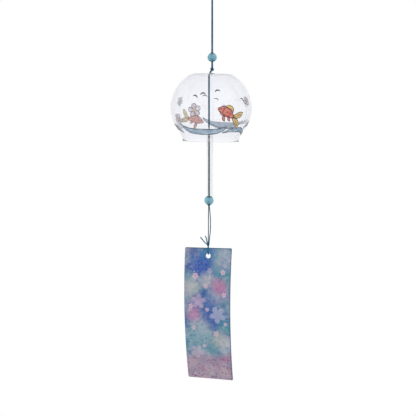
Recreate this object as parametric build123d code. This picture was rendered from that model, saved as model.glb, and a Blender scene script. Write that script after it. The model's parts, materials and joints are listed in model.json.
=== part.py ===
from build123d import *
from math import atan, cos, degrees, hypot, radians, sin, sqrt, tan
import os

# A furin, a glass wind bell, at its real size in millimetres. One doubled cord carries a blown glass
# bell, two glass beads, a clear glass tube that is the clapper, and a paper strip that catches the wind.
# The origin is inside the top of the hanging loop, where the loop bears on its hook. +X points right,
# +Y away from the front and +Z up. The cord is cut into pieces at the knots and holes where it bends.

# Cord: two thin waxed strands side by side
strand_d = 0.9
strand_gap = 0.1
loop_l = 27.0               # from the hook to the knot under the loop
upper_cord_l = 57.95        # from that knot to the one on the upper bead
crown_cord_l = 8.3          # from the knot in the upper bead to the one over the glass
inner_cord_l = 120.95       # from the stopper to the middle of the lower bead
hinge_gap = 0.3             # between a knot and a cord that swings about it
least_bend_share = 0.45     # of the shorter run beside a bend, for its arc

# Knots, each sized by the strand it is tied in
loop_knot_share = 4.0
bead_knot_share = 3.3
crown_knot_share = 4.3
tie_knot_share = 3.1
knot_height_share = 0.78
knot_wrap_share = 0.3
knot_end_share = 0.8

# Beads
bead_d = 9.3
bore_clearance = 0.7        # all round play of the pair of strands, on the diameter
mouth_d = 4.2               # countersunk mouth of a bead's bore
deep_mouth_d = 5.4          # the one that takes in the knot under the upper bead
bead_seat_gap = 0.15

# Glass bell
bell_d = 79.6
bell_h = 66.0
bell_mouth_d = 55.4
bell_wall = 1.5
bell_hole_d = 8.0
bell_edge_r = 0.4
bell_x = -0.4               # its hole, left of the knot above it
bell_lean = 1.0             # degrees, its right side hangs low
crown_gap = 3.6             # from the crown knot's middle to the top of the glass
# Outline from the crown down: shares of the greatest radius, and of the height
crown_outline_shares = [(0.465, 0.009), (0.603, 0.058), (0.761, 0.139), (0.905, 0.276), (1.0, 0.523)]
# Outline from the widest line down: shares of the step in to the mouth, and of the height
neck_outline_shares = [(0.231, 0.72), (0.711, 0.871), (0.975, 0.962), (1.0, 1.0)]

# Stopper: a clear disc under the crown, which carries the glass
stopper_d = 16.0
stopper_t = 2.0
stopper_edge_r = 0.4
stopper_gap = 0.35
clapper_x = -3.1            # the cord under the stopper, against the left of the hole
throat_bend_drop = 0.6      # the cord's bend, below the top of the glass
clapper_gap = 0.6           # room for the cord to swing under the stopper

# Clapper: a clear glass tube
tube_d = 6.0
tube_bore_d = 4.2
tube_l = 61.6
tube_edge_r = 0.3
tube_offset = 0.9           # its axis, right of the cord that it leans on
tube_seat_gap = 0.1

# Tie: where the strands under the lower bead are knotted over the strip
tie_offset = (-0.84, 0.0, -39.9)    # the tie knot's middle, from the knot under the lower bead
loop_bottom_gap = 1.3       # from the middle of the strip's hole up to the cord in it
loop_half_width = 1.0       # from the paper's middle to each leg of the tie loop
loop_h = 10.4               # from the middle of the hole to the tie knot
loop_side = 0.6             # the knot stands left of the hole

# Paper strip, bent along a slanting cylinder
strip_w = 48.0
strip_l = 131.7
strip_t = 0.5
strip_corner_r = 1.2
strip_bend_r = 302.0
strip_bend_slant = 16.3     # degrees, the bend's axis, falling to the right
strip_turn = -19.9          # degrees about the vertical, its right side nearer the front
strip_pitch = 2.8           # degrees, its foot swung back
hole_d = 5.0
hole_drop = 7.7             # from the top edge to the middle of the hole
hole_side = 0.2             # right of the strip's middle
cut_room = 20.0             # how far a cutting solid runs past what it cuts

pair_half = (strand_d + strand_gap) / 2
pair_step = pair_half / sqrt(2)
pair_r = pair_half + strand_d / 2
bead_bore_d = 2 * pair_r + bore_clearance
loop_knot_d = strand_d * loop_knot_share
bead_knot_d = strand_d * bead_knot_share
crown_knot_d = strand_d * crown_knot_share
tie_knot_d = strand_d * tie_knot_share


def knot_height(knot_d):
    return knot_d * knot_height_share


def knot_reach(knot_d):
    """The radius of the ball that a knot fits in."""
    return max(knot_d / 2, hypot(pair_r, knot_height(knot_d) / 2))


def bore_edge(mouth):
    """How far from a bead's middle its bore opens into the cone of a mouth."""
    return sqrt((bead_d / 2) ** 2 - (mouth / 2) ** 2) - (mouth - bead_bore_d) / 2


def knot_seat(mouth):
    """How far from a bead's middle a knot sits in the cone of a mouth."""
    reach = knot_reach(bead_knot_d) + bead_seat_gap
    return bore_edge(mouth) + sqrt(reach**2 - (bead_bore_d / 2) ** 2)


# Heights, from the hook down
loop_knot_z = -loop_l
top_knot_z = loop_knot_z - upper_cord_l
upper_bead_z = top_knot_z - knot_seat(mouth_d)
bottom_knot_z = upper_bead_z - knot_seat(deep_mouth_d)
crown_knot_z = bottom_knot_z - crown_cord_l
bell_top_z = crown_knot_z - crown_gap
stopper_z = bell_top_z - bell_wall - stopper_gap - stopper_t
lower_bead_z = stopper_z - inner_cord_l
lower_knot_z = lower_bead_z - knot_seat(mouth_d)
tube_z = lower_bead_z + sqrt((bead_d / 2) ** 2 - (mouth_d / 2) ** 2) + tube_seat_gap

lower_knot_at = Vector(clapper_x, 0, lower_knot_z)
tie_at = lower_knot_at + Vector(tie_offset)

# Hand-laid routes of the cord's free stretches. The hanging loop goes round its hook
hanging_loop_route = [
    (-0.35, -0.35, -27.0),
    (-3.62, 0.0, -1.9),
    (-1.56, 0.0, 0.45),
    (1.56, 0.0, 0.45),
    (3.62, 0.0, -1.9),
    (0.35, 0.35, -27.0),
]
# From the knot under the lower bead to the tie knot, the left strand hangs straight and the right bows
strip_left_route = [(-0.4, -0.2, -2.0), (-0.6, 0.0, -14.0), (-0.55, 0.2, -26.0), (-0.8, 0.45, -39.9)]
strip_right_route = [
    (0.4, 0.3, -2.0),
    (1.1, 0.4, -9.0),
    (1.55, 0.5, -17.0),
    (1.4, 0.6, -25.0),
    (0.6, 0.8, -32.5),
    (-0.1, 0.75, -39.9),
]
# The two ends that stand up from the tie knot, from its middle
tail_left_route = [(-0.3, -0.3, 0.2), (-2.0, -0.6, 1.6), (-4.9, -0.8, 4.5), (-7.6, -0.6, 8.1)]
tail_right_route = [
    (-0.2, -0.6, 0.5),
    (-0.9, -1.3, 2.4),
    (-1.4, -1.4, 4.6),
    (-1.8, -1.3, 7.0),
    (-2.8, -1.0, 9.4),
]


def bend_radii(name, points):
    """The arc for each corner of a route, as large as the runs beside it allow."""
    radii = []
    for before, corner, after in zip(points, points[1:], points[2:]):
        run_in = Vector(corner) - Vector(before)
        run_out = Vector(after) - Vector(corner)
        half_turn = radians(run_in.get_angle(run_out)) / 2
        radii.append(least_bend_share * min(run_in.length, run_out.length) / tan(half_turn))
    if radii:
        print(f"{name}: bend radii {', '.join(f'{radius:.1f}' for radius in radii)}")
    return radii


def strand(name, points):
    """One round strand along straight runs joined by tangent arcs."""
    if len(points) == 2:
        path = Line(*points)
    else:
        path = FilletPolyline(*points, radius=bend_radii(name, points))
    section = Plane(path @ 0, z_dir=path % 0) * Circle(strand_d / 2)
    print(f"{name}: {path.length:.1f} long")
    return sweep(section, path=path)


def strand_pair(first_name, points):
    """The left and the right strand of a pair that follows one route."""
    pair = {}
    for side, step in (("left", -pair_step), ("right", pair_step)):
        name = f"{first_name}_{side}"
        pair[name] = strand(name, [Vector(point) + Vector(step, step, 0) for point in points])
    return pair


def upright_pair(first_name, x, top, bottom):
    return strand_pair(first_name, [(x, 0, top), (x, 0, bottom)])


def knot(knot_d, centre):
    """A tied knot: a core that the strands run into, a fat wrap round it and a thinner one at each end."""
    height = knot_height(knot_d)
    wrap_r = knot_d * knot_wrap_share / 2
    profile = Pos(pair_r / 2, 0) * Rectangle(pair_r, height)
    profile += Pos(knot_d / 2 - wrap_r, 0) * Circle(wrap_r)
    for side in (-1, 1):
        profile += Pos(pair_r * knot_end_share, side * (height / 2 - wrap_r)) * Circle(wrap_r)
    return Pos(centre) * revolve(Plane.XZ * profile, Axis.Z)


def outside(shape, hole):
    """What is left of a strand outside a knot or a ball, as one solid."""
    return (shape - hole).solids().sort_by(SortBy.VOLUME)[-1]


def bead(mouth_above, mouth_below):
    """A drilled glass ball, its bore countersunk at each end."""
    shape = Sphere(bead_d / 2) - Cylinder(bead_bore_d / 2, bead_d)
    for side, mouth in ((1, mouth_above), (-1, mouth_below)):
        depth = bead_d / 2 - bore_edge(mouth)
        cone = Pos(0, 0, bore_edge(mouth) + depth / 2) * Cone(bead_bore_d / 2, bead_bore_d / 2 + depth, depth)
        shape -= cone if side > 0 else Rot(180, 0, 0) * cone
    return shape


def glass_bell():
    """The blown globe: a flat crown, full sides drawn in to an upright neck, and a melted round rim."""
    step_in = (bell_d - bell_mouth_d) / 2
    outline = [Vector(0, 0, 0)]
    outline += [Vector(r * bell_d / 2, 0, -z * bell_h) for r, z in crown_outline_shares]
    outline += [Vector(bell_d / 2 - r * step_in, 0, -z * bell_h) for r, z in neck_outline_shares]
    outer = Spline(*outline, tangents=[(1, 0, 0), (0, 0, -1)])
    inner_points = []
    for point in outline:
        along = outer % outer.param_at_point(point)
        inner_points.append(point + Vector(along.Z, 0, -along.X) * bell_wall)
    inner = Spline(*inner_points, tangents=[(1, 0, 0), (0, 0, -1)])
    rim_lowest = (outer @ 1 + inner @ 1) / 2 - Vector(0, 0, bell_wall / 2)
    rim = ThreePointArc(outer @ 1, rim_lowest, inner @ 1)
    wall = make_face([outer, rim, inner, Line(inner @ 0, outer @ 0)])
    shape = revolve(wall, Axis.Z) - Cylinder(bell_hole_d / 2, 2 * cut_room)
    hole_edges = shape.edges().filter_by(lambda edge: hypot((edge @ 0).X, (edge @ 0).Y) < bell_hole_d)
    return fillet(hole_edges, bell_edge_r)


def inner_stopper():
    shape = fillet(Cylinder(stopper_d / 2, stopper_t).edges(), stopper_edge_r)
    return shape - Cylinder(bead_bore_d / 2, cut_room)


def glass_tube():
    shape = Cylinder(tube_d / 2, tube_l) - Cylinder(tube_bore_d / 2, tube_l)
    return fillet(shape.edges().filter_by(GeomType.CIRCLE), tube_edge_r)


def strip_bend_depth(x, z):
    """How far back the bent paper lies at a place on it, from its foremost line."""
    slant = radians(strip_bend_slant)
    across = x * sin(slant) + z * cos(slant)
    return strip_bend_r - sqrt(strip_bend_r**2 - across**2)


def paper_strip():
    """A rectangle with round corners cut from a thin sheet that is rolled about a slanting axis."""
    length = strip_w + strip_l
    sheet = Cylinder(strip_bend_r + strip_t / 2, length) - Cylinder(strip_bend_r - strip_t / 2, length)
    sheet = Rot(0, strip_bend_slant, 0) * Pos(0, strip_bend_r, 0) * Rot(0, 90, 0) * sheet
    outline = Plane.XZ * RectangleRounded(strip_w, strip_l, strip_corner_r)
    shape = sheet & extrude(outline, cut_room, both=True)
    return shape - Pos(hole_side, 0, hole_z) * Rot(90, 0, 0) * Cylinder(hole_d / 2, 2 * cut_room)


# Where things stand. The strip hangs from the loop through its hole, square to the paper there
bell_place = Pos(bell_x, 0, bell_top_z) * Rot(0, bell_lean, 0)
stopper_place = bell_place * Pos(clapper_x - bell_x, 0, -bell_wall - stopper_gap - stopper_t / 2)
tube_place = Pos(clapper_x + tube_offset, 0, tube_z + tube_l / 2)
hole_z = strip_l / 2 - hole_drop
hole_back = strip_bend_depth(hole_side, hole_z)
hole_slope = degrees(atan(hole_z * cos(radians(strip_bend_slant)) ** 2 / (strip_bend_r - hole_back)))
loop_place = (
    Pos(tie_at)
    * Rot(0, 0, strip_turn)
    * Rot(strip_pitch - hole_slope, 0, 0)
    * Pos(loop_side, 0, -loop_h)
)
strip_place = loop_place * Rot(hole_slope, 0, 0) * Pos(-hole_side, -hole_back, -hole_z)

tie_loop_route = [
    (-loop_side, -pair_half, loop_h - tie_knot_d / 4),
    (-loop_side / 2, -loop_half_width, loop_h - tie_knot_d),
    (0, -loop_half_width, loop_bottom_gap),
    (0, loop_half_width, loop_bottom_gap),
    (-loop_side / 2, loop_half_width, loop_h - tie_knot_d),
    (-loop_side, pair_half, loop_h - tie_knot_d / 4),
]

nodes = {}

# Held by the hook
loop_knot = knot(loop_knot_d, (0, 0, loop_knot_z))
nodes["loop_knot"] = loop_knot
nodes["hanging_loop"] = outside(strand("hanging_loop", hanging_loop_route), loop_knot)

# Swings under the loop
upper_top = loop_knot_z - knot_reach(loop_knot_d) - hinge_gap
nodes |= upright_pair("upper_strand", 0, upper_top, top_knot_z + knot_height(bead_knot_d) / 2)
nodes["upper_bead_top_knot"] = knot(bead_knot_d, (0, 0, top_knot_z))

# Hangs from the upper bead's top knot
bead_strand_top = top_knot_z - knot_reach(bead_knot_d) - hinge_gap
nodes |= upright_pair("bead_strand", 0, bead_strand_top, bottom_knot_z + knot_height(bead_knot_d) / 2)
nodes["upper_bead"] = Pos(0, 0, upper_bead_z) * bead(mouth_d, deep_mouth_d)
nodes["upper_bead_bottom_knot"] = knot(bead_knot_d, (0, 0, bottom_knot_z))
crown_strand_top = bottom_knot_z - knot_height(bead_knot_d) / 2
nodes |= upright_pair("crown_strand", 0, crown_strand_top, crown_knot_z + knot_height(crown_knot_d) / 2)
nodes["crown_knot"] = knot(crown_knot_d, (0, 0, crown_knot_z))

# Rocks under the crown knot: the cord goes through the glass and the stopper that carries it
throat_route = [
    (0, 0, crown_knot_z),
    (clapper_x, 0, bell_top_z - throat_bend_drop),
    (clapper_x, 0, stopper_z),
]
crown_ball = Pos(0, 0, crown_knot_z) * Sphere(knot_reach(crown_knot_d) + hinge_gap)
for name, shape in strand_pair("throat_strand", throat_route).items():
    nodes[name] = outside(shape, crown_ball)
nodes["inner_stopper"] = stopper_place * inner_stopper()
nodes["glass_bell"] = bell_place * glass_bell()

# The clapper and its cord, down to the lower bead
lower_knot_top = lower_knot_z + knot_height(bead_knot_d) / 2
nodes |= upright_pair("inner_strand", clapper_x, stopper_z - clapper_gap, lower_knot_top + hinge_gap)
nodes["glass_tube"] = tube_place * glass_tube()
nodes["lower_bead"] = Pos(clapper_x, 0, lower_bead_z) * bead(mouth_d, mouth_d)
nodes["lower_bead_knot"] = knot(bead_knot_d, lower_knot_at)

# The two strands under the lower bead, knotted over the strip, and their free ends
lower_ball = Pos(lower_knot_at) * Sphere(knot_reach(bead_knot_d) + hinge_gap)
tie_knot = knot(tie_knot_d, tie_at)
nodes["tie_knot"] = tie_knot
for name, start, route in (
    ("strip_strand_left", lower_knot_at, strip_left_route),
    ("strip_strand_right", lower_knot_at, strip_right_route),
    ("tail_left", tie_at, tail_left_route),
    ("tail_right", tie_at, tail_right_route),
):
    shape = strand(name, [start + Vector(point) for point in route])
    nodes[name] = outside(outside(shape, lower_ball), tie_knot)

# The loop through the paper, and the paper
tie_ball = Pos(tie_at) * Sphere(knot_reach(tie_knot_d) + hinge_gap)
nodes["strip_loop"] = outside(loop_place * strand("strip_loop", tie_loop_route), tie_ball)
nodes["paper_strip"] = strip_place * paper_strip()

os.makedirs("parts", exist_ok=True)
for name, shape in nodes.items():
    export_step(shape, f"parts/{name}.step")
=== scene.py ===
import json
from math import asin, atan, atan2, cos, degrees, pi, radians, sin, sqrt

import bmesh
import bpy
from mathutils import Matrix, Vector


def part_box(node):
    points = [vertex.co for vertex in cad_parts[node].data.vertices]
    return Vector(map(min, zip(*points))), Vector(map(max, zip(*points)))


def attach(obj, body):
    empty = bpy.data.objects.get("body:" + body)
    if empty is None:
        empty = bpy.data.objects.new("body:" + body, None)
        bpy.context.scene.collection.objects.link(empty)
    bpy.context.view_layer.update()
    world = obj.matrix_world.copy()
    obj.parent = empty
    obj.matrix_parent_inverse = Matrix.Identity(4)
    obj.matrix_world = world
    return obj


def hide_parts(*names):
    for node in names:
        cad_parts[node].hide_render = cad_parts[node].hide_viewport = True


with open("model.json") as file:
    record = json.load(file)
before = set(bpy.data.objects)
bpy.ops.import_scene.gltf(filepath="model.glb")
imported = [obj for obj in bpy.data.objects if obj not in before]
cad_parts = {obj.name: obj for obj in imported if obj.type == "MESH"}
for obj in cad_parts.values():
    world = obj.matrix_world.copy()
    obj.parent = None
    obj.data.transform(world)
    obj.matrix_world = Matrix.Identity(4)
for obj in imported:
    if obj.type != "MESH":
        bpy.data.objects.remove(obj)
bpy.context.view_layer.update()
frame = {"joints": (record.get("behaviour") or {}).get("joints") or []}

# The photograph's view
# A long lens stands 4.3 degrees above the middle of the picture, so that the near edge of the
# glass rim shows a little under the far one. One pixel of the photograph is 0.985 mm on the bell.
mm = 0.001
photo_side = 416
pixel_size = 0.985 * mm
view_centre = Vector((-4.1, 0, -236.9)) * mm
view_rise = radians(4.3)
view_distance = 1.5
sensor_width = 36.0
back_from_bell = Vector((0, -cos(view_rise), sin(view_rise)))
bpy.ops.object.camera_add(location=view_centre + back_from_bell * view_distance)
camera = bpy.context.object
camera.rotation_euler = (pi / 2 - view_rise, 0, 0)
camera.data.sensor_width = sensor_width
camera.data.lens = sensor_width * view_distance / (photo_side * pixel_size)
camera.data.clip_end = 20
bpy.context.scene.camera = camera
bpy.context.scene.view_settings.view_transform = "Standard"


# The studio
# White all round to the camera and in the glass, with even light from everywhere and two soft
# lamps, and a pale round floor far below the hanging bell.
class Wire:
    """One output of a material's nodes. A sum written with wires adds its Math nodes."""

    def __init__(self, tree, socket=None):
        self.tree = tree
        self.socket = socket

    def add(self, kind, settings=None, feeds=None, out=0):
        """Adds a node: its settings first, then the values or wires of its sockets."""
        node = self.tree.nodes.new(kind)
        for name, value in (settings or {}).items():
            if name == "stops":
                ramp = node.color_ramp.elements
                while len(ramp) < len(value):
                    ramp.new(1)
                for element, (share, tone) in zip(ramp, value):
                    element.position = share
                    element.color = tone
            else:
                setattr(node, name, value)
        for name, value in (feeds or {}).items():
            if isinstance(value, Wire):
                self.tree.links.new(value.socket, node.inputs[name])
            else:
                node.inputs[name].default_value = value
        return Wire(self.tree, node.outputs[out])

    def into(self, node, name):
        self.tree.links.new(self.socket, node.inputs[name])

    def maths(self, operation, *others):
        """This wire, and the wires or values after it, through one Math node."""
        values = dict(enumerate((self, *others)))
        return self.add("ShaderNodeMath", {"operation": operation}, values)

    def __add__(self, other):
        return self.maths("ADD", other)

    def __sub__(self, other):
        return self.maths("SUBTRACT", other)

    def __mul__(self, other):
        return self.maths("MULTIPLY", other)

    def __rsub__(self, other):
        return self.add("ShaderNodeMath", {"operation": "SUBTRACT"}, {0: other, 1: self})

    __radd__ = __add__
    __rmul__ = __mul__


def finish(name, **even):
    """A material with one shader. Its even values are set on the shader's own sockets."""
    material = bpy.data.materials.new(name)
    material.use_nodes = True
    shader = material.node_tree.nodes["Principled BSDF"]
    for socket, value in even.items():
        shader.inputs[socket.replace("_", " ")].default_value = value
    return material, shader, Wire(material.node_tree)


world = bpy.data.worlds.new("studio")
world.use_nodes = True
bpy.context.scene.world = world
sky = Wire(world.node_tree)
white = (1, 1, 1, 1)
even_light = sky.add("ShaderNodeBackground", feeds={"Color": white, "Strength": 0.66})
white_sheet = sky.add("ShaderNodeBackground", feeds={"Color": white, "Strength": 1.0})
seen = sky.add("ShaderNodeLightPath", out="Is Camera Ray")
light_path = seen.socket.node
for ray in ("Is Glossy Ray", "Is Transmission Ray"):
    seen = seen.maths("MAXIMUM", Wire(world.node_tree, light_path.outputs[ray]))
backdrop = sky.add("ShaderNodeMixShader", feeds={0: seen, 1: even_light, 2: white_sheet})
backdrop.into(world.node_tree.nodes["World Output"], "Surface")

for lamp_name, place, power, size in (
    ("key_lamp", (0.9, -1.4, 0.7), 8.0, 2.2),
    ("fill_lamp", (-1.4, -0.9, 0.1), 3.0, 2.2),
):
    bpy.ops.object.light_add(type="AREA", location=place)
    lamp = bpy.context.object
    lamp.name = lamp_name
    lamp.data.energy = power
    lamp.data.size = size
    lamp.visible_transmission = False
    lamp.rotation_euler = (view_centre - lamp.location).to_track_quat("-Z", "Y").to_euler()

floor_drop = 0.75
floor_r = 0.8
bpy.ops.mesh.primitive_circle_add(
    vertices=96, radius=floor_r, fill_type="NGON", location=(0, 0, -floor_drop))
floor = bpy.context.object
floor.name = "floor"
floor_paint, _, _ = finish("floor_paint", Base_Color=(0.86, 0.86, 0.87, 1), Roughness=0.8)
floor.data.materials.append(floor_paint)


# The cord
# One thin waxed cord of three plies. It is folded double, and from the hanging loop to the lower
# bead its two strands lie side by side. The loop's cord runs round the hook, back into its knot.
strand_d = 0.95 * mm
pair_half = strand_d / 2
plies = 3
ply_pitch = 3.0 * mm
ply_depth = 0.04 * mm
strand_sides = 18
ring_step = 0.3 * mm


def colour(red, green, blue):
    """A colour as it is read off a screen, 0 to 255, as the light values that a shader takes."""
    shares = [value / 255 for value in (red, green, blue)]
    return (*[s / 12.92 if s <= 0.04045 else ((s + 0.055) / 1.055) ** 2.4 for s in shares], 1)


def noise(place, scale, detail):
    feeds = {"Vector": place, "Scale": scale, "Detail": detail}
    return place.add("ShaderNodeTexNoise", feeds=feeds)


def mixed(share, under, over):
    """One colour with a share of another over it."""
    return share.add("ShaderNodeMix", {"data_type": "RGBA"}, {0: share, 6: under, 7: over}, out=2)


def raised(shader, height, strength, distance):
    """Gives a shader's surface a fine relief."""
    feeds = {"Height": height, "Strength": strength, "Distance": distance}
    height.add("ShaderNodeBump", feeds=feeds).into(shader, "Normal")


def places_along(curve):
    """The places along a curve, which is then removed."""
    holder = bpy.data.objects.new("holder", curve)
    mesh = bpy.data.meshes.new_from_object(holder)
    line = [vertex.co.copy() for vertex in mesh.vertices]
    bpy.data.meshes.remove(mesh)
    bpy.data.objects.remove(holder)
    bpy.data.curves.remove(curve)
    return line


def smooth_line(route):
    """The smooth curve that the points of a route steer, as a list of places."""
    curve = bpy.data.curves.new("route", "CURVE")
    curve.dimensions = "3D"
    spline = curve.splines.new("NURBS")
    spline.points.add(len(route) - 1)
    for point, place in zip(spline.points, route):
        point.co = (*place, 1)
    spline.order_u = 3
    spline.use_endpoint_u = True
    spline.resolution_u = 24
    return places_along(curve)


def run_of(line):
    """How long a line is."""
    return sum((b - a).length for a, b in zip(line, line[1:]))


def evenly(line, step):
    """The same line with its places an even step apart."""
    count = max(2, round(run_of(line) / step))
    gap = run_of(line) / count
    places = [line[0]]
    left = gap
    for a, b in zip(line, line[1:]):
        at, length = 0.0, (b - a).length
        while length - at >= left and len(places) < count:
            at += left
            places.append(a.lerp(b, at / length))
            left = gap
        left -= length - at
    return places + [line[-1]]


def with_sides(line, first_side):
    """Each place of a line with two directions across it, which follow it without a twist."""
    side = Vector(first_side)
    for before, place, after in zip(line[:1] + line, line, line[1:] + line[-1:]):
        ahead = (after - before).normalized()
        side = (side - ahead * side.dot(ahead)).normalized()
        yield place, side, ahead.cross(side)


def side_by_side(line, turns):
    """The middle lines of two strands along one line.

    The pair's turn about it is given in degrees at shares of it.
    """
    places = evenly(line, ring_step)
    pair = ([], [])
    for n, (place, side, up) in enumerate(with_sides(places, (1, 0, 0))):
        run = n / (len(places) - 1)
        for (start, turn), (end, next_turn) in zip(turns, turns[1:]):
            if run <= end:
                break
        angle = radians(turn + (next_turn - turn) * (run - start) / (end - start))
        out = (side * cos(angle) + up * sin(angle)) * pair_half
        pair[0].append(place - out)
        pair[1].append(place + out)
    return pair


def strand(name, line, first_side=(1, 0, 0), thickness=strand_d):
    """One strand of the cord, a tube whose three plies wind round it, closed at both ends."""
    places = evenly(line, ring_step)
    gap = run_of(places) / (len(places) - 1)
    vertices, grooves = [], []
    for n, (place, side, up) in enumerate(with_sides(places, first_side)):
        for k in range(strand_sides):
            angle = 2 * pi * k / strand_sides
            grooves.append(0.5 - 0.5 * cos(plies * angle - 2 * pi * n * gap / ply_pitch))
            out = thickness / 2 - ply_depth * grooves[-1]
            vertices.append(place + (side * cos(angle) + up * sin(angle)) * out)
    faces = [tuple(reversed(range(strand_sides)))]
    for n in range(len(places) - 1):
        for k in range(strand_sides):
            a, b = n * strand_sides + k, n * strand_sides + (k + 1) % strand_sides
            faces.append((a, b, b + strand_sides, a + strand_sides))
    faces.append(tuple(range(len(vertices) - strand_sides, len(vertices))))
    mesh = bpy.data.meshes.new(name)
    mesh.from_pydata(vertices, [], faces)
    mesh.attributes.new("groove", "FLOAT", "POINT").data.foreach_set("value", grooves)
    mesh.shade_smooth()
    piece = bpy.data.objects.new(name, mesh)
    bpy.context.scene.collection.objects.link(piece)
    mesh.materials.append(cord_finish)
    return piece


cord_finish, cord_shader, cord = finish("waxed_cord", Roughness=0.6, Specular_IOR_Level=0.1)
groove = cord.add("ShaderNodeAttribute", {"attribute_name": "groove"}, out="Fac")
on_cord = cord.add("ShaderNodeTexCoord", out="Object")
mottle = noise(on_cord, 420.0, 3.0)
patches = noise(on_cord, 110.0, 1.0)
dye = cord.add("ShaderNodeValToRGB", {"stops": [
    (0.3, colour(22, 80, 109)), (0.5, colour(44, 106, 138)), (0.7, colour(74, 132, 164)),
]}, {0: mottle * 0.5 + patches * 0.5})
# Painted shade: the cord is darker down in the grooves between its plies.
mixed(groove * 0.5, dye, colour(22, 60, 84)).into(cord_shader, "Base Color")
raised(cord_shader, noise(on_cord, 2600.0, 2.0), 0.25, 0.05 * mm)

# Where each hinge is, and which way each joint points. A slide has no place.
joint_at = {joint["name"]: Vector(joint["pos_m"]) for joint in frame["joints"] if "pos_m" in joint}
joint_axis = {joint["name"]: Vector(joint["axis"]) for joint in frame["joints"]}
loop_knot_at = joint_at["cord_swing"]
top_knot_at = joint_at["bead_sway"]
crown_knot_at = joint_at["bell_rock"]
stopper_at = joint_at["clapper_swing"]
lower_knot_at = joint_at["strand_sway"]
tie_knot_at = joint_at["strip_flap"]

hanging_loop_route = [
    (-0.35, -0.35, -27.0), (-3.62, 0.0, -1.9), (-1.56, 0.0, 0.45),
    (1.56, 0.0, 0.45), (3.62, 0.0, -1.9), (0.35, 0.35, -27.0),
]
loop_line = smooth_line([Vector(point) * mm for point in hanging_loop_route])
hanging_loop = strand("cord_loop", loop_line, first_side=(0, 1, 0))
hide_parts("hanging_loop")
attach(hanging_loop, "hook_loop")

# A strand's run is measured again when it is longer than this
cord_row_l = 30 * mm


def upright_pair(first_name, top, bottom, body, turns=((0, 0), (1, 0))):
    """The two strands of a straight stretch."""
    for side, line in zip(("left", "right"), side_by_side([top, bottom], turns)):
        piece = strand(f"cord_{first_name}_{side}", line)
        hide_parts(f"{first_name}_{side}")
        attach(piece, body)
        if run_of(line) > cord_row_l:
            run_of(line)


low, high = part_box("upper_bead_bottom_knot")
bottom_knot_at = (low + high) / 2
upright_pair("upper_strand", loop_knot_at, top_knot_at, "upper_cord", turns=((0, -40), (1, 0)))
upright_pair("bead_strand", top_knot_at, bottom_knot_at, "crown")
upright_pair("crown_strand", bottom_knot_at, crown_knot_at, "crown")
# The inner pair starts in the stopper's bore, and has a loose twist inside the glass
inner_start = stopper_at + Vector((0, 0, 0.4 * mm))
upright_pair("inner_strand", inner_start, lower_knot_at, "clapper",
             turns=((0, 0), (0.38, 20), (0.52, 560), (1, 545)))

# The cord's bend over the glass, from the crown knot in through the hole and the stopper
throat_bend_drop = 4.2 * mm
throat_route = [
    crown_knot_at,
    Vector((stopper_at.x, 0, crown_knot_at.z - throat_bend_drop)),
    stopper_at,
]
throat_line = smooth_line(throat_route)
for side, line in zip(("left", "right"), side_by_side(throat_line, ((0, 0), (1, 0)))):
    piece = strand(f"cord_throat_strand_{side}", line)
    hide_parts(f"throat_strand_{side}")
    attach(piece, "stopper")

# The strands under the lower bead
# The pair comes out of the bead's knot as two free strands, one straight and one bowed, which meet
# again in the tie knot. Their two ends stand up from that knot, cut bare and a little fluffed.
fluffed_d = 1.1 * mm
strip_left_route = [
    (-0.2, -0.1, -0.2), (-0.4, -0.2, -2.0), (-0.6, 0.0, -14.0), (-0.55, 0.2, -26.0),
    (-0.8, 0.45, -39.9),
]
strip_right_route = [
    (0.2, 0.1, -0.2), (0.4, 0.3, -2.0), (1.1, 0.4, -9.0), (1.55, 0.5, -17.0), (1.4, 0.6, -25.0),
    (0.6, 0.8, -32.5), (-0.1, 0.75, -39.9),
]
tail_left_route = [(-0.3, -0.3, 0.2), (-2.0, -0.6, 1.6), (-4.9, -0.8, 4.5), (-7.6, -0.6, 8.1)]
tail_right_route = [
    (-0.2, -0.6, 0.5), (-0.9, -1.3, 2.4), (-1.4, -1.4, 4.6), (-1.8, -1.3, 7.0), (-2.8, -1.0, 9.4),
]
for side, route, tail_route in (
    ("left", strip_left_route, tail_left_route),
    ("right", strip_right_route, tail_right_route),
):
    tail_line = smooth_line([tie_knot_at + Vector(point) * mm for point in tail_route])
    tail = strand(f"cord_tail_{side}", tail_line, first_side=(0, 1, 0), thickness=fluffed_d)
    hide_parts(f"tail_{side}")
    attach(tail, "strands")
    line = smooth_line([lower_knot_at + Vector(point) * mm for point in route])
    piece = strand(f"cord_strip_strand_{side}", line)
    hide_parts(f"strip_strand_{side}")
    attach(piece, "strands")
    run_of(line)

# The tie loop
# The strands go on below the tie knot as one loop through the hole of the paper, a leg on each
# side of it.
strip_turn = radians(-19.9)
strip_pitch = radians(2.8)
loop_side = 0.6 * mm
loop_h = 10.4 * mm
loop_bottom_gap = 1.3 * mm
loop_half_width = 1.3 * mm
tie_knot_d = 2.8 * mm
strip_w = 48 * mm
strip_l = 131.7 * mm
strip_bend_r = 302 * mm
strip_bend_slant = radians(16.3)
hole_d = 5 * mm
hole_side = 0.2 * mm
hole_from_edge = 7.7 * mm
hole_z = strip_l / 2 - hole_from_edge


def strip_bend_depth(x, z):
    """How far back the bent paper lies at a place on it, from its foremost line."""
    across = x * sin(strip_bend_slant) + z * cos(strip_bend_slant)
    return strip_bend_r - sqrt(strip_bend_r**2 - across**2)


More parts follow.
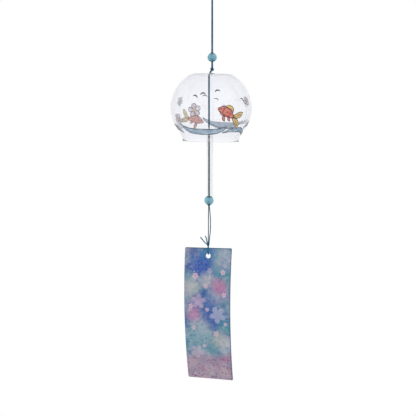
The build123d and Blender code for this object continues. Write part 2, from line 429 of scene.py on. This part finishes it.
hole_back = strip_bend_depth(hole_side, hole_z)
hole_slope = atan(hole_z * cos(strip_bend_slant) ** 2 / (strip_bend_r - hole_back))
loop_place = (
    Matrix.Translation(tie_knot_at)
    @ Matrix.Rotation(strip_turn, 4, "Z")
    @ Matrix.Rotation(strip_pitch - hole_slope, 4, "X")
    @ Matrix.Translation((loop_side, 0, -loop_h))
)
leg_top = loop_h - tie_knot_d / 4
leg_bend = loop_h - tie_knot_d
tie_loop_route = [
    (-loop_side, -pair_half, leg_top), (-loop_side / 2, -loop_half_width, leg_bend),
    (0, -loop_half_width, loop_bottom_gap), (0, loop_half_width, loop_bottom_gap),
    (-loop_side / 2, loop_half_width, leg_bend), (-loop_side, pair_half, leg_top),
]
tie_line = smooth_line([loop_place @ Vector(point) for point in tie_loop_route])
tie_loop = strand("cord_strip_loop", tie_line)
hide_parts("strip_loop")
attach(tie_loop, "tie_loop")

# The knots
# Overhand knots pulled tight in the doubled cord: under the hanging loop, in the bead's two
# mouths, over the glass, under the lower bead, and the smaller one that ties the strip on.
knot_strand_d = 0.84 * mm
knot_steps = 120
lay_share = 0.36
lay_rise_share = 0.4


def knot(name, node, body, turn, lean, doubled=False):
    """The cord's overhand knot, as wide and as high as the solid that it stands for."""
    low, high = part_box(node)
    middle = (low + high) / 2
    lay_half = knot_strand_d * lay_share if doubled else 0
    out = (high.x - low.x - knot_strand_d) / 2 - lay_half
    rise = (high.z - low.z - knot_strand_d) / 2 - lay_half * lay_rise_share
    tilt = Matrix.Rotation(radians(lean), 3, "X") @ Matrix.Rotation(radians(turn), 3, "Z")
    # Three lobes while the cord goes round twice
    line = []
    for n in range(knot_steps + 1):
        angle = 2 * pi * n / knot_steps
        reach = out * (0.6 + 0.4 * cos(3 * angle))
        line.append(Vector((reach * cos(2 * angle), reach * sin(2 * angle), rise * sin(3 * angle))))
    lays = []
    for n, step in enumerate((-1, 1) if doubled else (0,)):
        wider, up = 1 + step * lay_half / out, Vector((0, 0, step * lay_half))
        lay = [middle + tilt @ (place * wider + up) for place in line]
        lays.append(strand(f"{name}_{n}", lay, thickness=knot_strand_d))
    bpy.ops.object.select_all(action="DESELECT")
    for piece in lays:
        piece.select_set(True)
    tied = lays[0]
    bpy.context.view_layer.objects.active = tied
    if doubled:
        bpy.ops.object.join()
    tied.name = name
    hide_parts(node)
    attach(tied, body)


knot("knot_under_loop", "loop_knot", "hook_loop", 20, 8, doubled=True)
knot("knot_on_upper_bead", "upper_bead_top_knot", "upper_cord", 70, -6)
knot("knot_under_upper_bead", "upper_bead_bottom_knot", "crown", 10, 5)
knot("knot_over_glass", "crown_knot", "crown", 40, 12, doubled=True)
knot("knot_under_lower_bead", "lower_bead_knot", "lower_knot", 100, 4)
knot("knot_of_strip", "tie_knot", "strands", 55, 14)

# The beads
# Two balls of pale blue crackle glass, drilled through, with the mouths of the bore ground out to
# a cone in which the knots sit. The one cord goes through both.
bead_d = 9.3 * mm
bore_r = 1.3 * mm


def worked(piece, *steps):
    """Runs modelling steps on the whole mesh of one piece."""
    bpy.ops.object.select_all(action="DESELECT")
    bpy.context.view_layer.objects.active = piece
    piece.select_set(True)
    bpy.ops.object.mode_set(mode="EDIT")
    bpy.ops.mesh.select_all(action="SELECT")
    for step, settings in steps:
        getattr(bpy.ops.mesh, step)(**settings)
    bpy.ops.object.mode_set(mode="OBJECT")


def turned(name, outline, place, steps=64):
    """A round piece, spun once about its axis from its half outline.

    The outline is drawn as by hand: one corner is extruded along it.
    """
    out, up = outline[0]
    bpy.ops.object.select_all(action="DESELECT")
    bpy.ops.mesh.primitive_plane_add(size=0.1 * mm, location=(out, 0, up))
    piece = bpy.context.object
    piece.name = name
    bpy.ops.object.transform_apply()
    mesh = piece.data
    mesh.uv_layers.remove(mesh.uv_layers[0])
    bpy.ops.object.mode_set(mode="EDIT")
    bpy.ops.mesh.merge(type="CENTER")
    for next_out, next_up in outline[1:] + outline[:1]:
        step = (next_out - out, 0, next_up - up)
        bpy.ops.mesh.extrude_vertices_move(TRANSFORM_OT_translate={"value": step})
        out, up = next_out, next_up
    bpy.ops.object.mode_set(mode="OBJECT")
    worked(
        piece,
        ("spin", {"steps": steps, "angle": 2 * pi, "center": (0, 0, 0), "axis": (0, 0, 1)}),
        ("remove_doubles", {"threshold": 0.001 * mm}),
        ("normals_make_consistent", {"inside": False}),
    )
    solid = bmesh.new()
    solid.from_mesh(mesh)
    if solid.calc_volume(signed=True) < 0:
        bmesh.ops.reverse_faces(solid, faces=solid.faces)
        solid.to_mesh(mesh)
    solid.free()
    mesh.transform(place)
    bpy.ops.object.shade_smooth_by_angle(angle=radians(35))
    return piece


def arc(middle_out, middle_up, radius, first, last, count):
    """Places on an arc of a half outline, from one angle to another, in degrees."""
    angles = [radians(first + (last - first) * n / count) for n in range(count + 1)]
    return [(middle_out + radius * cos(a), middle_up + radius * sin(a)) for a in angles]


def bead(name, middle, mouth_above, mouth_below):
    """A drilled ball, with a mouth of each given width."""
    top, foot = [90 - degrees(asin(mouth / bead_d)) for mouth in (mouth_above, mouth_below)]
    outline = arc(0, 0, bead_d / 2, -foot, top, 40)
    outline.append((bore_r, outline[-1][1] - (mouth_above / 2 - bore_r)))
    outline.append((bore_r, outline[0][1] + (mouth_below / 2 - bore_r)))
    return turned(name, outline, Matrix.Translation(middle))


def mapped(value, low, high, first=0.0, last=1.0, smooth=False):
    """A value between low and high as one between first and last, and held there beyond them."""
    kind = {"interpolation_type": "SMOOTHSTEP" if smooth else "LINEAR"}
    return value.add("ShaderNodeMapRange", kind, {0: value, 1: low, 2: high, 3: first, 4: last})


bead_finish, bead_shader, bead_glass = finish(
    "crackle_glass", Roughness=0.12, Transmission_Weight=0.45, IOR=1.5,
    Coat_Weight=0.3, Coat_Roughness=0.05)
in_bead = bead_glass.add("ShaderNodeTexCoord", out="Object")
crackle_cells = {"Vector": in_bead, "Scale": 520.0}
cracks = bead_glass.add("ShaderNodeTexVoronoi", {"feature": "DISTANCE_TO_EDGE"}, crackle_cells)
shards = bead_glass.add("ShaderNodeTexVoronoi", feeds=crackle_cells, out="Color")
shard_tone = bead_glass.add("ShaderNodeSeparateColor", feeds={0: shards})
blue = bead_glass.add("ShaderNodeValToRGB", {"stops": [
    (0.25, colour(72, 160, 188)), (0.5, colour(110, 197, 222)), (0.8, colour(158, 224, 243)),
]}, {0: noise(in_bead, 260.0, 3.0) * 0.6 + shard_tone * 0.4})
blue = mixed(mapped(cracks, 0.0, 0.09, 0.65, 0.0), blue, colour(206, 236, 244))
# Painted shade: the glass darkens towards both mouths of the bore, standing in for the shaded bore
# and the dark knots seen through it.
towards_mouth = bead_glass.add(
    "ShaderNodeAttribute", {"attribute_name": "towards_mouth"}, out="Fac")
blue = mixed(mapped(towards_mouth, 0.56, 0.86, 0.0, 0.95), blue, colour(26, 76, 98))
blue.into(bead_shader, "Base Color")
raised(bead_shader, cracks, 0.25, 0.2 * mm)

for name, joint, mouth_above, mouth_below in (
    ("upper_bead", "upper_bead_turn", 4.2 * mm, 5.4 * mm),
    ("lower_bead", "lower_bead_turn", 4.2 * mm, 4.2 * mm),
):
    middle = joint_at[joint]
    ball = bead(f"crackle_{name}", middle, mouth_above, mouth_below)
    towards = ball.data.attributes.new("towards_mouth", "FLOAT", "POINT")
    shares = [abs(vertex.co.z - middle.z) / (bead_d / 2) for vertex in ball.data.vertices]
    towards.data.foreach_set("value", shares)
    ball.data.materials.append(bead_finish)
    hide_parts(name)
    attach(ball, name)

# The glass bell
# Blown soda glass: a thin flat crown with the hole for the cord, full sides 1.5 mm thick, and a
# neck cut off level, whose rim is melted round. It hangs a degree out of true.
bell_d = 79.6 * mm
bell_h = 66 * mm
bell_wall = 1.5 * mm
bell_hole_r = 4 * mm
crown_wall = 0.7 * mm
thin_to_r = 14 * mm
full_from_r = 36 * mm
step_in = 12.1 * mm
outline_step = 1.2 * mm
# Places on the outside: out and down, as shares of the half width or the step in, and the height
crown_outline_shares = [
    (0.28, 0.0008), (0.43, 0.005), (0.52, 0.022), (0.61, 0.058), (0.761, 0.139), (0.905, 0.276),
    (1.0, 0.523),
]
neck_outline_shares = [(0.231, 0.72), (0.711, 0.871), (0.975, 0.962), (1.0, 1.0)]


def drawn(points):
    """The smooth curve through points, as a list of places."""
    curve = bpy.data.curves.new("drawn", "CURVE")
    curve.dimensions = "3D"
    spline = curve.splines.new("BEZIER")
    spline.bezier_points.add(len(points) - 1)
    spline.resolution_u = 10
    for point, place in zip(spline.bezier_points, points):
        point.handle_left_type = point.handle_right_type = "AUTO"
        point.co = place
    return places_along(curve)


bell_points = [(0, 0, 0), (0.1 * bell_d, 0, 0)]
bell_points += [(share * bell_d / 2, 0, -drop * bell_h) for share, drop in crown_outline_shares]
bell_points += [
    (bell_d / 2 - share * step_in, 0, -drop * bell_h) for share, drop in neck_outline_shares
]
outer_line = evenly(drawn(bell_points), outline_step)


def wall_at(out):
    """How thick the glass is, so far out from its axis."""
    share = min(max((out - thin_to_r) / (full_from_r - thin_to_r), 0), 1)
    return crown_wall + (bell_wall - crown_wall) * share * share * (3 - 2 * share)


inner_line = [
    place - outward * wall_at(place.x) for place, _, outward in with_sides(outer_line, (0, 1, 0))
]
hole_edge = bell_hole_r + crown_wall / 2
rim_out = (outer_line[-1].x + inner_line[-1].x) / 2
bell_outline = [(at.x, at.z) for at in outer_line if at.x > hole_edge]
bell_outline += arc(rim_out, outer_line[-1].z, bell_wall / 2, -15, -165, 8)
bell_outline += [(at.x, at.z) for at in reversed(inner_line) if at.x > hole_edge]
bell_outline += arc(hole_edge, -crown_wall / 2, crown_wall / 2, 270, 90, 8)
bell_lean = atan2(joint_axis["bell_turn"].x, joint_axis["bell_turn"].z)
bell_place = Matrix.Translation(joint_at["bell_turn"]) @ Matrix.Rotation(bell_lean, 4, "Y")
glass_bell = turned("blown_glass_bell", bell_outline, bell_place, steps=144)


def clear_glass(name, middle, edge, blend, gloss, steepness=1.0):
    """Clear glass with painted shade where it is seen through edge on."""
    material, shader, glass = finish(
        name, Roughness=0.0, Transmission_Weight=1.0, IOR=1.5, Specular_IOR_Level=gloss)
    facing = glass.add("ShaderNodeLayerWeight", feeds={"Blend": blend}, out="Facing")
    mixed(facing.maths("POWER", steepness), middle, edge).into(shader, "Base Color")
    return material


glass_bell.data.materials.append(clear_glass(
    "blown_glass", (0.948, 0.958, 0.984, 1), (0.32, 0.34, 0.4, 1),
    blend=0.16, gloss=0.08, steepness=1.6))
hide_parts("glass_bell")
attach(glass_bell, "bell")

# The painting
# Enamel printed on the outside of the glass and fired on: two goldfish, fallen blossoms and
# running water, the thin colours first and the dark outlines over them.
paint_t = 0.02 * mm
mark_columns = 4
line_step = 0.6 * mm
half_line_share = 0.42
wobble_share = 0.12
wobble_turn = 0.31


def brush_mark(points):
    """One mark of a brush, from points of (across, up, width) in millimetres.

    It is a list of rows, each from one edge of the mark to the other.
    """
    line = drawn([Vector(point) * mm for point in points])
    rows = []
    for before, at, after in zip(line[:1] + line, line, line[1:] + line[-1:]):
        ahead = (after - before).xy.normalized()
        side = Vector((-ahead.y, ahead.x)) * at.z / 2
        rows.append([at.xy + side * (2 * k / mark_columns - 1) for k in range(mark_columns + 1)])
    return rows


def outline_mark(rows, width):
    """A thin brush line round a mark, a little uneven in its width."""
    border = [row[0] for row in rows] + [row[-1] for row in reversed(rows)]
    border = evenly(border + border[:1], line_step)
    thin = []
    for n, (before, at, after) in enumerate(
            zip(border[-2:-1] + border, border, border[1:] + border[1:2])):
        ahead = (after - before).normalized()
        half = width * (half_line_share + wobble_share * sin(wobble_turn * n))
        side = Vector((-ahead.y, ahead.x)) * half
        thin.append([at - side, at + side])
    return thin


def glass_radius(up):
    """How far the outside of the glass is from its axis, at a height."""
    for above, below in zip(outer_line, outer_line[1:]):
        if below.z <= up:
            share = (above.z - up) / max(above.z - below.z, 0.001 * mm)
            return above.x + (below.x - above.x) * share
    return outer_line[-1].x


def on_glass(rows, turn, height, lift, tilt=0, size=1, flip=1):
    """A flat drawing laid on the globe, so many degrees round it and so far under its crown."""
    spun = Matrix.Rotation(radians(tilt), 2)
    sheet = []
    for row in rows:
        sheet.append([])
        for place in row:
            across, up = spun @ Vector((place.x * flip, place.y)) * size
            up -= height * mm
            radius = glass_radius(up)
            angle = radians(turn) + across / radius
            radius += lift
            sheet[-1].append(Vector((radius * sin(angle), -radius * cos(angle), up)))
    return sheet


fish_body = [
    (-11.5, 0.3, 0.6), (-9.2, 0.7, 4.6), (-5, 1.1, 8.4), (0, 0.8, 8.2), (4.5, 0, 4.8),
    (7.6, -0.5, 2.6),
]
fish_marks = {
    "red": [
        fish_body,
        [(-3.4, -2.6, 1.2), (-1.8, -5.6, 2.6), (0.6, -7.9, 0.5)],
        [(1.8, -1.6, 1.0), (3.4, -4.0, 2.2), (5.6, -5.2, 0.5)],
    ],
    "yellow": [
        [(6.8, -0.2, 2.0), (10.2, 2.4, 4.8), (13.4, 5.4, 5.0), (15.6, 8.6, 0.6)],
        [(6.8, -0.8, 2.0), (11.0, -2.4, 5.0), (14.8, -4.2, 4.6), (17.6, -7.6, 0.6)],
        [(-5.0, 5.0, 0.6), (-1.8, 6.6, 3.4), (2.4, 6.2, 2.4), (4.6, 3.6, 0.6)],
    ],
}
fish_lines = [
    [(-8.9, 1.5, 0.3), (-8.3, 1.5, 1.3), (-7.7, 1.5, 0.3)],
    [(-6.2, 4.3, 0.4), (-5.4, 1.4, 0.7), (-6.2, -1.8, 0.4)],
    [(9.2, 1.4, 0.3), (12.0, 4.0, 0.5), (14.0, 6.8, 0.3)],
    [(10.0, -1.8, 0.3), (13.2, -3.4, 0.5), (16.0, -6.0, 0.3)],
    [(-1.6, 2.6, 0.3), (-0.8, 1.2, 0.6), (-1.6, -0.2, 0.3)],
    [(1.6, 2.0, 0.3), (2.3, 0.8, 0.6), (1.6, -0.4, 0.3)],
]
petal = [(0, 0.8, 0.5), (0, 1.9, 2.1), (0, 3.2, 3.7), (0, 4.3, 3.2), (0, 4.9, 1.2)]
blossom_middle = [(-0.9, 0, 0.5), (0, 0, 1.7), (0.9, 0, 0.5)]
long_water = [
    (-27, 5.5, 0.5), (-22, 2.2, 2.4), (-14, -0.6, 4.4), (-4, -1.6, 5.2), (8, -1.4, 4.8),
    (17, 0.4, 3.4), (23, 3.6, 0.5),
]
short_water = [
    (-15, -2.4, 0.5), (-9, -0.4, 2.6), (-1, 0.6, 4.2), (8, 0, 3.8), (15, -2.6, 2.2),
    (19, -5.2, 0.5),
]
dash = [(-2.6, -0.9, 0.4), (-0.9, 0.5, 1.2), (1.1, 0.3, 1.1), (2.8, -0.8, 0.4)]
colour_lift, middle_lift, ink_lift = 0.05 * mm, 0.08 * mm, 0.12 * mm
painting = {"red": [], "yellow": [], "blue": [], "blossom": [], "ink": []}


def paint_shape(colour_name, points, *where, outlined=0.6, turned_by=0, lift=colour_lift, **how):
    """One shape of a colour on the glass, with a dark line round it as wide as outlined says."""
    rows = brush_mark(points)
    if turned_by:
        spun = Matrix.Rotation(radians(turned_by), 2)
        rows = [[spun @ place for place in row] for row in rows]
    painting[colour_name].append(on_glass(rows, *where, lift, **how))
    if outlined:
        painting["ink"].append(on_glass(outline_mark(rows, outlined * mm), *where, ink_lift, **how))


for turn, height, tilt, size in ((24, 39, -24, 1.0), (208, 47, 14, 0.92)):
    for colour_name, marks in fish_marks.items():
        for mark in marks:
            paint_shape(colour_name, mark, turn, height, tilt=tilt, size=size)
    for mark in fish_lines:
        paint_shape("ink", mark, turn, height, outlined=0, lift=ink_lift, tilt=tilt, size=size)
for turn, height, tilt, size in (
    (-24, 36, 10, 1.3), (-56, 45, 40, 1.1), (60, 27, 25, 1.0), (160, 37, 0, 1.2),
    (236, 28, 30, 1.0),
):
    for n in range(5):
        paint_shape("blossom", petal, turn, height, outlined=0.34, turned_by=72 * n,
                    tilt=tilt, size=size)
    paint_shape("yellow", blossom_middle, turn, height, outlined=0, lift=middle_lift, size=size)
for water, turn, height, tilt, flip in (
    (long_water, -12, 55, 0, 1), (short_water, 48, 55, 0, 1),
    (long_water, 152, 50, 0, -1), (short_water, 268, 53, 0, 1), (short_water, 98, 48, 0, -1),
):
    paint_shape("blue", water, turn, height, tilt=tilt, flip=flip)
for turn, height, tilt in (
    (-13, 20, 8), (-24, 22.5, -20), (9, 17, 12), (50, 25, -35), (190, 22, 5), (172, 25, 20),
):
    paint_shape("ink", dash, turn, height, outlined=0, lift=ink_lift, tilt=tilt)

# The deep and the light tone of each colour, and how well it covers in front and at the back
cover_fade = 4 * mm
paint_tones = {
    "red": (colour(240, 118, 98), colour(250, 166, 146), 0.92, 0.75),
    "yellow": (colour(250, 208, 120), colour(255, 232, 172), 0.92, 0.75),
    "blue": (colour(172, 200, 224), colour(212, 230, 242), 0.92, 0.85),
    "blossom": (colour(234, 224, 232), colour(252, 244, 248), 0.8, 0.7),
    "ink": (colour(58, 56, 66), colour(92, 88, 100), 0.9, 0.6),
}
for colour_name, sheets in painting.items():
    deep, light, front_cover, back_cover = paint_tones[colour_name]
    paint_finish, paint_shader, paint = finish(
        f"enamel_{colour_name}", Roughness=0.45, IOR=1.4,
        Transmission_Weight=0 if colour_name == "ink" else 0.6)
    on_bell = paint.add("ShaderNodeTexCoord", out="Object")
    streaks = paint.add("ShaderNodeMapping", feeds={"Vector": on_bell, "Scale": (1.0, 1.0, 2.6)})
    wash = mapped(noise(streaks, 240.0, 4.0), 0.35, 0.68)
    mixed(wash, deep, light).into(paint_shader, "Base Color")
    depth = paint.add("ShaderNodeSeparateXYZ", feeds={0: on_bell}, out="Y")
    cover = mapped(depth, -cover_fade, cover_fade, front_cover, back_cover)
    (cover - wash * 0.12).into(paint_shader, "Alpha")
    mesh = bpy.data.meshes.new(f"painting_{colour_name}")
    vertices, faces = [], []
    for sheet in sheets:
        first, width = len(vertices), len(sheet[0])
        vertices += [place for row in sheet for place in row]
        faces += [
            (first + n * width + k, first + n * width + k + 1,
             first + (n + 1) * width + k + 1, first + (n + 1) * width + k)
            for n in range(len(sheet) - 1) for k in range(width - 1)
        ]
    mesh.from_pydata(vertices, [], faces)
    mesh.transform(bell_place)
    painted = bpy.data.objects.new(f"painting_{colour_name}", mesh)
    bpy.context.scene.collection.objects.link(painted)
    worked(
        painted,
        ("remove_doubles", {"threshold": 0.005 * mm}),
        ("normals_make_consistent", {"inside": False}),
    )
    thick = painted.modifiers.new("coat", "SOLIDIFY")
    thick.thickness = paint_t
    bpy.ops.object.modifier_apply(modifier=thick.name)
    worked(painted, ("normals_make_consistent", {"inside": False}))
    mesh = painted.data
    mesh.materials.append(paint_finish)
    mesh.shade_smooth()
    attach(painted, "bell")

# The stopper
# A clear acrylic disc under the crown, wider than the hole. The cord goes through its middle and
# it carries the glass. It is thicker than the solid, and the lift keeps its foot in place.
stopper_d = 16 * mm
stopper_t = 2.75 * mm
stopper_lift = 0.37 * mm
stopper_edge_r = 0.4 * mm
low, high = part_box("inner_stopper")
disc_out, disc_up = stopper_d / 2 - stopper_edge_r, stopper_t / 2 - stopper_edge_r
disc_outline = arc(disc_out, -disc_up, stopper_edge_r, -90, 0, 5)
disc_outline += arc(disc_out, disc_up, stopper_edge_r, 0, 90, 5)
disc_outline += [(bore_r, stopper_t / 2), (bore_r, -stopper_t / 2)]
disc_middle = (low + high) / 2 + Vector((0, 0, stopper_lift))
disc_place = Matrix.Translation(disc_middle) @ Matrix.Rotation(bell_lean, 4, "Y")
stopper = turned("clear_stopper", disc_outline, disc_place, steps=72)
stopper.data.materials.append(clear_glass(
    "clear_acrylic", (0.96, 0.965, 0.97, 1), (0.84, 0.85, 0.87, 1), blend=0.2, gloss=0.08))
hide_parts("inner_stopper")
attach(stopper, "stopper")

# The clapper
# A clear glass tube that stands on the lower bead round the cord, leans on it and strikes the
# rim. Its cut ends are melted smooth.
tube_r = 3 * mm
tube_bore_r = 2.1 * mm
tube_edge_r = 0.3 * mm
low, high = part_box("glass_tube")
edge_up = (high.z - low.z) / 2 - tube_edge_r
wall_in, wall_out = tube_bore_r + tube_edge_r, tube_r - tube_edge_r
tube_outline = arc(wall_in, -edge_up, tube_edge_r, 180, 270, 4)
tube_outline += arc(wall_out, -edge_up, tube_edge_r, -90, 0, 4)
tube_outline += arc(wall_out, edge_up, tube_edge_r, 0, 90, 4)
tube_outline += arc(wall_in, edge_up, tube_edge_r, 90, 180, 4)
tube = turned("clear_glass_tube", tube_outline, Matrix.Translation((low + high) / 2), steps=72)
tube.data.materials.append(clear_glass(
    "tube_glass", (0.95, 0.955, 0.96, 1), (0.6, 0.62, 0.67, 1), blend=0.3, gloss=0.12))
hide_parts("glass_tube")
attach(tube, "tube")

# The paper strip
# Stiff coated paper, cut to 48 by 132 mm with round corners, punched for the cord and rolled to a
# slight curve about a slanting line, so that it turns in the wind. It is printed on both sides
# with a watercolour wash.
strip_t = 0.5 * mm
strip_corner_r = 1.2 * mm
corner_share = 0.499
punch_l = 10 * mm
bpy.ops.object.select_all(action="DESELECT")
bpy.ops.mesh.primitive_grid_add(x_subdivisions=16, y_subdivisions=44, size=1)
strip = bpy.context.object
strip.name = "paper_wind_strip"
sheet = strip.data
sheet.transform(Matrix.Rotation(pi / 2, 4, "X") @ Matrix.Diagonal((strip_w, strip_l, 1, 1)))
bpy.ops.object.mode_set(mode="EDIT")
bpy.ops.mesh.select_mode(type="VERT")
bpy.ops.mesh.select_all(action="DESELECT")
bpy.ops.object.mode_set(mode="OBJECT")
for vertex in sheet.vertices:
    at = vertex.co
    vertex.select = abs(at.x) > strip_w * corner_share and abs(at.z) > strip_l * corner_share
bpy.ops.object.mode_set(mode="EDIT")
bpy.ops.mesh.bevel(affect="VERTICES", offset=strip_corner_r, segments=6)
bpy.ops.object.mode_set(mode="OBJECT")
paper = strip.modifiers.new("paper", "SOLIDIFY")
paper.thickness = strip_t
paper.offset = 0
bpy.ops.object.modifier_apply(modifier=paper.name)
bpy.ops.object.select_all(action="DESELECT")
bpy.ops.mesh.primitive_cylinder_add(
    vertices=48, radius=hole_d / 2, depth=punch_l,
    location=(hole_side, 0, hole_z), rotation=(pi / 2, 0, 0))
punch = bpy.context.object
bpy.context.view_layer.objects.active = strip
hole = strip.modifiers.new("hole", "BOOLEAN")
hole.object = punch
hole.solver = "EXACT"
bpy.ops.object.modifier_apply(modifier=hole.name)
bpy.data.objects.remove(punch)
sheet = strip.data
for layer in list(sheet.uv_layers):
    sheet.uv_layers.remove(layer)
flat = sheet.uv_layers.new(name="flat_print")
for loop in sheet.loops:
    at = sheet.vertices[loop.vertex_index].co
    flat.data[loop.index].uv = (at.x / strip_w + 0.5, at.z / strip_l + 0.5)
for vertex in sheet.vertices:
    vertex.co.y += strip_bend_depth(vertex.co.x, vertex.co.z)
strip_place = (
    loop_place
    @ Matrix.Rotation(hole_slope, 4, "X")
    @ Matrix.Translation((-hole_side, -hole_back, -hole_z))
)
sheet.transform(strip_place)
bpy.ops.object.select_all(action="DESELECT")
strip.select_set(True)
bpy.context.view_layer.objects.active = strip
bpy.ops.object.shade_smooth_by_angle(angle=radians(30))

print_finish, print_shader, print_wash = finish("printed_paper", Roughness=0.55)
flat_place = print_wash.add("ShaderNodeUVMap", {"uv_map": "flat_print"})
on_paper = print_wash.add(
    "ShaderNodeVectorMath", {"operation": "MULTIPLY"}, {0: flat_place, 1: (strip_w, strip_l, 0)})
from_left = print_wash.add("ShaderNodeSeparateXYZ", feeds={0: on_paper}, out="X")
from_foot = print_wash.add("ShaderNodeSeparateXYZ", feeds={0: on_paper}, out="Y")


def clouds(scale, seed, low_end, high_end, detail=2.0):
    """Where the soft clouds of one colour lie, from 0 to 1."""
    field_place = print_wash.add(
        "ShaderNodeVectorMath", {"operation": "ADD"}, {0: on_paper, 1: (seed, seed, seed)})
    return mapped(noise(field_place, scale, detail), low_end, high_end, smooth=True)


def spot(left, up, reach, soft):
    """A round patch: its middle from the left and the foot, its radius and its edge, in mm."""
    away = print_wash.add(
        "ShaderNodeVectorMath", {"operation": "DISTANCE"},
        {0: on_paper, 1: (left * mm, up * mm, 0)}, out="Value")
    return mapped(away, (reach + soft) * mm, (reach - soft) * mm, smooth=True)


def blossom(left, up, reach, turn, soft):
    """Five round petals about a middle."""
    across = from_left - left * mm
    along = from_foot - up * mm
    away = (across * across + along * along).maths("SQRT")
    turned_angle = along.maths("ARCTAN2", across) + turn
    petals = (turned_angle * 2.5).maths("COSINE").maths("ABSOLUTE")
    edge = petals * (0.5 * reach * mm) + 0.5 * reach * mm
    return mapped(edge - away, -soft * mm, soft * mm, smooth=True)


# The wash, from its widest clouds to its grain
widest = clouds(42.0, 0.3, 0.40, 0.58, detail=5.0)
ground = mixed(widest, colour(84, 118, 166), colour(152, 172, 188))
ground = mixed(clouds(34.0, 1.7, 0.47, 0.62, detail=5.0) * 0.75, ground, colour(162, 156, 184))
ground = mixed(clouds(48.0, 3.1, 0.49, 0.60, detail=6.0) * 0.8, ground, colour(82, 146, 162))
ground = mixed(clouds(40.0, 5.9, 0.53, 0.64, detail=6.0) * 0.75, ground, colour(58, 86, 150))
ground = mixed(clouds(90.0, 8.3, 0.55, 0.66, detail=6.0) * 0.5, ground, colour(176, 186, 196))
for left, up, reach, soft, tint, strength in (
    (22, 77, 10, 8, colour(58, 92, 168), 0.75),
    (37, 94, 7, 6, colour(202, 116, 162), 0.66),
    (10, 66, 7, 6, colour(194, 124, 168), 0.7),
    (29, 64, 10, 7, colour(54, 86, 164), 0.8),
    (20, 50, 8, 6, colour(164, 180, 190), 0.5),
    (17, 115, 11, 8, colour(50, 84, 172), 0.85),
    (25, 128, 8, 6, colour(52, 118, 172), 0.7),
    (39, 119, 8, 7, colour(166, 168, 190), 0.6),
    (8, 93, 8, 7, colour(190, 188, 184), 0.65),
    (24, 100, 6, 5, colour(194, 182, 180), 0.55),
    (37, 41, 8, 7, colour(188, 188, 184), 0.7),
    (13, 42, 7, 6, colour(142, 170, 186), 0.7),
    (43, 76, 6, 5, colour(78, 142, 160), 0.6),
):
    ground = mixed(spot(left, up, reach, soft) * strength, ground, tint)

blots = clouds(420.0, 21.0, 0.35, 0.65, detail=4.0)
ground = mixed(blots * 0.1, ground, colour(190, 204, 220))
stains = (1 - blots) * clouds(260.0, 23.0, 0.45, 0.6, detail=4.0)
ground = mixed(stains * 0.32, ground, colour(50, 80, 150))

# The mauve foot
foot_edge = clouds(60.0, 7.7, 0.3, 0.7) * (6 * mm) + from_foot
foot = mapped(foot_edge, 34 * mm, 20 * mm, smooth=True)
mauve_clouds = clouds(70.0, 9.3, 0.35, 0.65, detail=6.0)
mauve = mixed(mauve_clouds, colour(156, 140, 166), colour(182, 164, 178))
mauve = mixed(clouds(80.0, 11.0, 0.54, 0.68, detail=5.0) * 0.7, mauve, colour(182, 92, 142))
ground = mixed(foot * 0.92, ground, mauve)


def dots(scale, outer, inner, **more):
    """Small round dots strewn over the paper, which fade from an inner to an outer radius."""
    cells = {"Vector": on_paper, "Scale": scale, **more}
    return mapped(print_wash.add("ShaderNodeTexVoronoi", feeds=cells), outer, inner)


# Speckles in the foot, pale and dark flecks above it, and faint discs
grains = dots(380.0, 0.32, 0.2) * foot * clouds(150.0, 13.0, 0.32, 0.46)
ground = mixed(grains * 0.9, ground, colour(122, 58, 118))
flecks = dots(240.0, 0.17, 0.1)
ground = mixed(flecks * clouds(60.0, 17.0, 0.5, 0.58) * 0.8, ground, colour(226, 230, 238))
ground = mixed(flecks * clouds(64.0, 19.0, 0.54, 0.6) * 0.6, ground, colour(62, 84, 140))
discs = dots(105.0, 0.34, 0.26, Randomness=0.9)
ground = mixed(discs * clouds(50.0, 15.0, 0.5, 0.62) * 0.28, ground, colour(214, 206, 220))

# Three large pale blossoms and ten small ones
for left, up, reach, turn, tint, strength in (
    (35, 66, 8.5, 0.4, colour(188, 190, 214), 0.55),
    (15, 79, 7.5, 1.0, colour(206, 176, 204), 0.5),
    (12, 28, 7.0, 0.2, colour(202, 186, 204), 0.5),
):
    ground = mixed(blossom(left, up, reach, turn, soft=0.9) * strength, ground, tint)
for left, up, reach, turn in (
    (11.5, 104, 3.4, 0.3), (40, 108, 2.8, 0.9), (22.5, 94, 2.4, 0.1), (41.5, 86, 2.6, 0.7),
    (7, 74, 2.8, 1.1), (24, 71, 2.2, 0.5), (33, 47, 3.0, 0.2), (9.5, 52, 2.4, 0.8),
    (43, 57, 2.0, 0.4), (20, 34, 2.2, 1.2),
):
    ground = mixed(blossom(left, up, reach, turn, soft=0.35) * 0.8, ground, colour(214, 188, 206))
    ground = mixed(spot(left, up, reach * 0.24, 0.35) * 0.7, ground, colour(178, 96, 140))

# The paper has painted shade along its top and its right edge, and the whole print is a little
# stronger than its mixed colours
from_top = mapped(from_foot, strip_l - 0.5 * mm, strip_l - 1.3 * mm)
from_right = mapped(from_left, strip_w - 0.4 * mm, strip_w - 1.2 * mm)
ground = mixed((1 - from_top * from_right) * 0.7, ground, colour(44, 84, 106))
contrast = 1.17
middle_tone = colour(131, 140, 165)
ground = print_wash.add(
    "ShaderNodeMix", {"data_type": "RGBA", "clamp_factor": False, "clamp_result": True},
    {0: contrast, 6: middle_tone, 7: ground}, out=2)
ground.into(print_shader, "Base Color")
raised(print_shader, noise(on_paper, 1800.0, 3.0), 0.12, 0.05 * mm)
strip.data.materials.clear()
strip.data.materials.append(print_finish)
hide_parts("paper_strip")
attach(strip, "strip")
